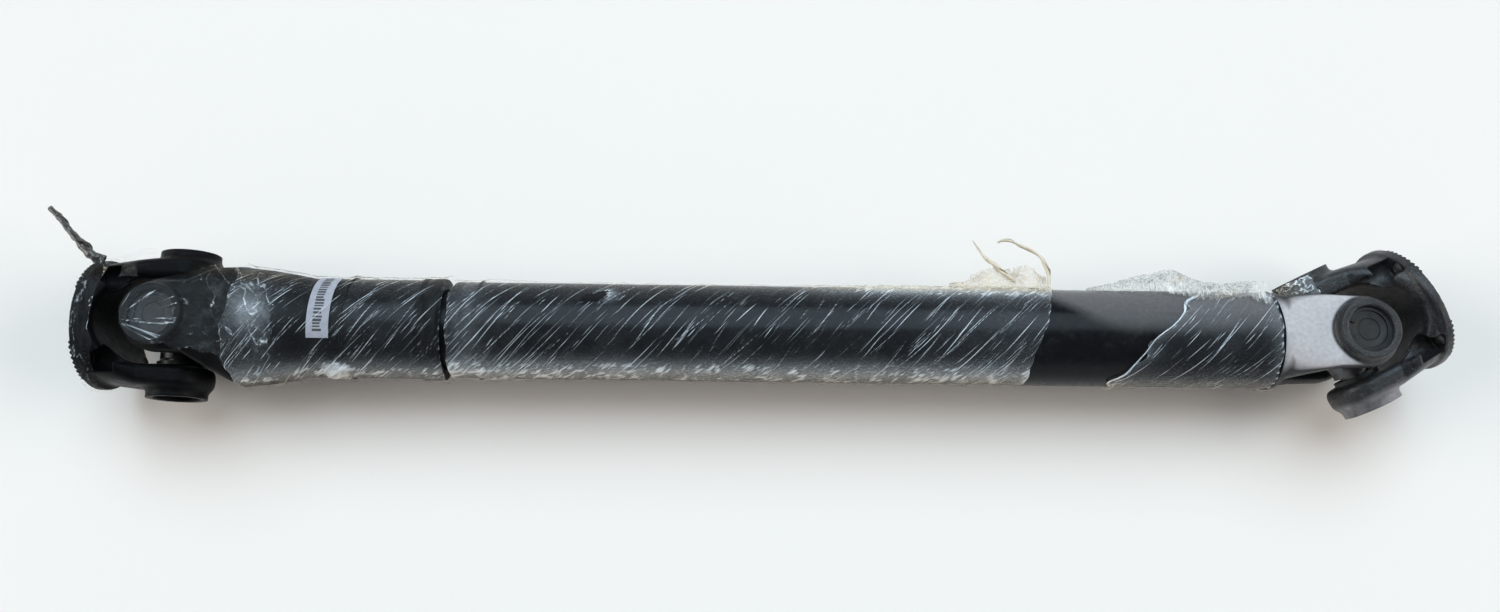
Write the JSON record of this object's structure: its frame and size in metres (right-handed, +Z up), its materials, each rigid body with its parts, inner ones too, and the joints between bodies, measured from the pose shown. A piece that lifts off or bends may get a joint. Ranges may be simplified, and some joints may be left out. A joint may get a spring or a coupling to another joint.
{
  "type": "universal joint shaft",
  "caption": "Truck propeller shaft: steel tube with a splined sliding end, a needle-bearing universal joint and toothed bolt-on flange yoke at each end, part wrapped in stretch film.",
  "frame": {"origin": "centre of the sliding end's flange, on its mating face", "axes": "+X along the shaft towards the tube's welded fork, +Y across it as it lies, +Z up; the shaft's own ears point up and down"},
  "size_m": [1.6007, 0.2272, 0.1709],
  "materials": {
    "black_paint": "satin black paint over forged and drawn steel",
    "forged_steel": "machined forging, dulled by grease",
    "pressed_steel": "phosphated",
    "bearing_steel": "ground",
    "seal_rubber": "matte",
    "label_paper": "matte",
    "stretch_film": "clear, wrinkled"
  },
  "bodies": {
    "tube": {"main_tube": "black_paint", "tube_welds": "black_paint", "balance_weights": "black_paint", "tube_fork": "black_paint", "spline_sleeve": "forged_steel", "sleeve_plug": "pressed_steel", "shaft_ear_cups_b": "bearing_steel", "shaft_ear_needles_b": "bearing_steel", "shaft_ear_seals_b": "seal_rubber", "shaft_ear_circlips_b": "pressed_steel", "film_on_tube": "stretch_film", "film_on_tube_end": "stretch_film", "film_flap": "stretch_film", "film_bunch": "stretch_film"},
    "sliding_end": {"slip_yoke": "black_paint", "dust_tube": "black_paint", "dust_tube_weld": "black_paint", "seal_collar": "black_paint", "wiper_seal": "seal_rubber", "shaft_ear_cups_a": "bearing_steel", "shaft_ear_needles_a": "bearing_steel", "shaft_ear_seals_a": "seal_rubber", "shaft_ear_circlips_a": "pressed_steel", "paper_label": "label_paper", "film_on_ear": "stretch_film", "film_on_dust_tube": "stretch_film"},
    "spider_a": {"cross_a": "forged_steel", "dust_shields_a": "pressed_steel", "grease_nipple_a": "pressed_steel"},
    "flange_a": {"flange_yoke_a": "black_paint", "flange_ear_cups_a": "bearing_steel", "flange_ear_needles_a": "bearing_steel", "flange_ear_seals_a": "seal_rubber", "flange_ear_circlips_a": "pressed_steel", "film_on_flange_a": "stretch_film", "film_tail": "stretch_film"},
    "spider_b": {"cross_b": "forged_steel", "dust_shields_b": "pressed_steel", "grease_nipple_b": "pressed_steel"},
    "flange_b": {"flange_yoke_b": "black_paint", "flange_ear_cups_b": "bearing_steel", "flange_ear_needles_b": "bearing_steel", "flange_ear_seals_b": "seal_rubber", "flange_ear_circlips_b": "pressed_steel", "film_on_yoke_b": "stretch_film"}
  },
  "joints": [
    {"name": "slip_slide", "type": "slide", "parent": "tube", "child": "sliding_end", "axis": [-1, 0, 0], "range_m": [-0.008, 0.11]},
    {"name": "joint_a_on_shaft_ears", "type": "hinge", "parent": "sliding_end", "child": "spider_a", "pos_m": [0.096, 0, 0], "axis": [0, 0, 1], "range_deg": [-25, 25]},
    {"name": "joint_a_on_flange_ears", "type": "hinge", "parent": "spider_a", "child": "flange_a", "pos_m": [0.096, 0, 0], "axis": [0, 1, 0], "range_deg": [-25, 25]},
    {"name": "joint_b_on_shaft_ears", "type": "hinge", "parent": "tube", "child": "spider_b", "pos_m": [1.436, 0, 0], "axis": [0, 0, 1], "range_deg": [-51, 1]},
    {"name": "joint_b_on_flange_ears", "type": "hinge", "parent": "spider_b", "child": "flange_b", "pos_m": [1.436, 0, 0], "axis": [-0.4384, 0.8988, 0], "range_deg": [-25, 25]}
  ]
}
